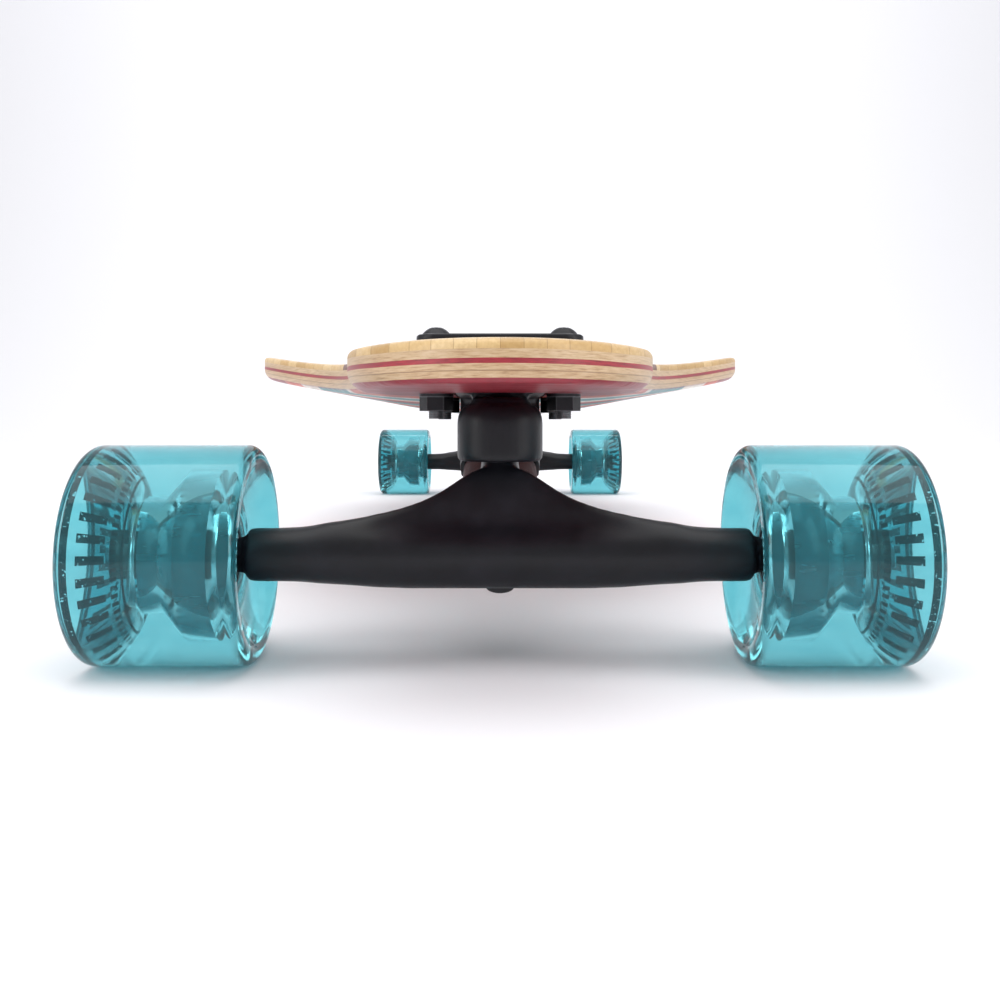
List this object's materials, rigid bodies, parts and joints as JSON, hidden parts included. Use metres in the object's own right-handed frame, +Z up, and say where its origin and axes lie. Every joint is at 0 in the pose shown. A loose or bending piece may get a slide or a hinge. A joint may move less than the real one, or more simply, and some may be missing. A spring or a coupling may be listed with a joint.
{
  "type": "drop-through longboard",
  "caption": "Drop-through longboard skateboard with a bamboo and maple deck, black cast trucks and clear teal urethane wheels.",
  "frame": {"origin": "on the floor under the middle of the board", "axes": "+Y from the front end to the rear end, +Z up, +X to the left of a rider who looks towards the front"},
  "size_m": [0.26, 1.016, 0.111],
  "materials": {
    "bamboo": "satin",
    "maple": "satin",
    "red_veneer": "satin",
    "black_cast": "satin",
    "black_hardware": "satin",
    "steel": "brushed",
    "bearing_shield": "satin",
    "teal_urethane": "gloss",
    "clear_core": "gloss",
    "bushing_urethane": "satin",
    "pivot_cup_urethane": "matte"
  },
  "bodies": {
    "deck": {"deck_bamboo_ply": "bamboo", "deck_maple_upper_ply": "maple", "deck_red_middle_ply": "red_veneer", "deck_maple_core_ply": "maple", "deck_red_bottom_ply": "red_veneer", "front_baseplate": "black_cast", "front_mount_bolts": "black_hardware", "front_mount_washers": "black_hardware", "front_mount_nuts": "black_hardware", "front_kingpin": "black_hardware", "front_kingpin_nut": "steel", "front_pivot_cup": "pivot_cup_urethane", "front_top_bushing": "bushing_urethane", "front_top_cup_washer": "black_hardware", "front_bottom_bushing": "bushing_urethane", "front_bottom_cup_washer": "black_hardware", "rear_baseplate": "black_cast", "rear_mount_bolts": "black_hardware", "rear_mount_washers": "black_hardware", "rear_mount_nuts": "black_hardware", "rear_kingpin": "black_hardware", "rear_kingpin_nut": "steel", "rear_pivot_cup": "pivot_cup_urethane", "rear_top_bushing": "bushing_urethane", "rear_top_cup_washer": "black_hardware", "rear_bottom_bushing": "bushing_urethane", "rear_bottom_cup_washer": "black_hardware"},
    "front_hanger_assembly": {"front_hanger": "black_cast", "front_axle": "steel", "front_axle_washers": "steel", "front_left_bearing_inner_rings": "steel", "front_left_bearing_spacer": "steel", "front_left_axle_nut": "black_hardware", "front_right_bearing_inner_rings": "steel", "front_right_bearing_spacer": "steel", "front_right_axle_nut": "black_hardware"},
    "front_left_wheel": {"front_left_tyre": "teal_urethane", "front_left_wheel_core": "clear_core", "front_left_bearing_shells": "bearing_shield"},
    "front_right_wheel": {"front_right_tyre": "teal_urethane", "front_right_wheel_core": "clear_core", "front_right_bearing_shells": "bearing_shield"},
    "rear_hanger_assembly": {"rear_hanger": "black_cast", "rear_axle": "steel", "rear_axle_washers": "steel", "rear_left_bearing_inner_rings": "steel", "rear_left_bearing_spacer": "steel", "rear_left_axle_nut": "black_hardware", "rear_right_bearing_inner_rings": "steel", "rear_right_bearing_spacer": "steel", "rear_right_axle_nut": "black_hardware"},
    "rear_left_wheel": {"rear_left_tyre": "teal_urethane", "rear_left_wheel_core": "clear_core", "rear_left_bearing_shells": "bearing_shield"},
    "rear_right_wheel": {"rear_right_tyre": "teal_urethane", "rear_right_wheel_core": "clear_core", "rear_right_bearing_shells": "bearing_shield"}
  },
  "joints": [
    {"name": "front_lean", "type": "hinge", "parent": "deck", "child": "front_hanger_assembly", "pos_m": [0, -0.4215, 0.0754], "axis": [0, -0.8192, 0.5736], "range_deg": [-15, 15], "stiffness_Nm_per_rad": 60, "deforming": ["front_top_bushing", "front_bottom_bushing"]},
    {"name": "front_left_wheel_spin", "type": "hinge", "parent": "front_hanger_assembly", "child": "front_left_wheel", "pos_m": [0.097, -0.4175, 0.035], "axis": [1, 0, 0], "continuous": true},
    {"name": "front_right_wheel_spin", "type": "hinge", "parent": "front_hanger_assembly", "child": "front_right_wheel", "pos_m": [-0.097, -0.4175, 0.035], "axis": [1, 0, 0], "continuous": true},
    {"name": "rear_lean", "type": "hinge", "parent": "deck", "child": "rear_hanger_assembly", "pos_m": [0, 0.4215, 0.0754], "axis": [0, 0.8192, 0.5736], "range_deg": [-15, 15], "stiffness_Nm_per_rad": 60, "deforming": ["rear_top_bushing", "rear_bottom_bushing"]},
    {"name": "rear_left_wheel_spin", "type": "hinge", "parent": "rear_hanger_assembly", "child": "rear_left_wheel", "pos_m": [0.097, 0.4175, 0.035], "axis": [1, 0, 0], "continuous": true},
    {"name": "rear_right_wheel_spin", "type": "hinge", "parent": "rear_hanger_assembly", "child": "rear_right_wheel", "pos_m": [-0.097, 0.4175, 0.035], "axis": [1, 0, 0], "continuous": true}
  ]
}
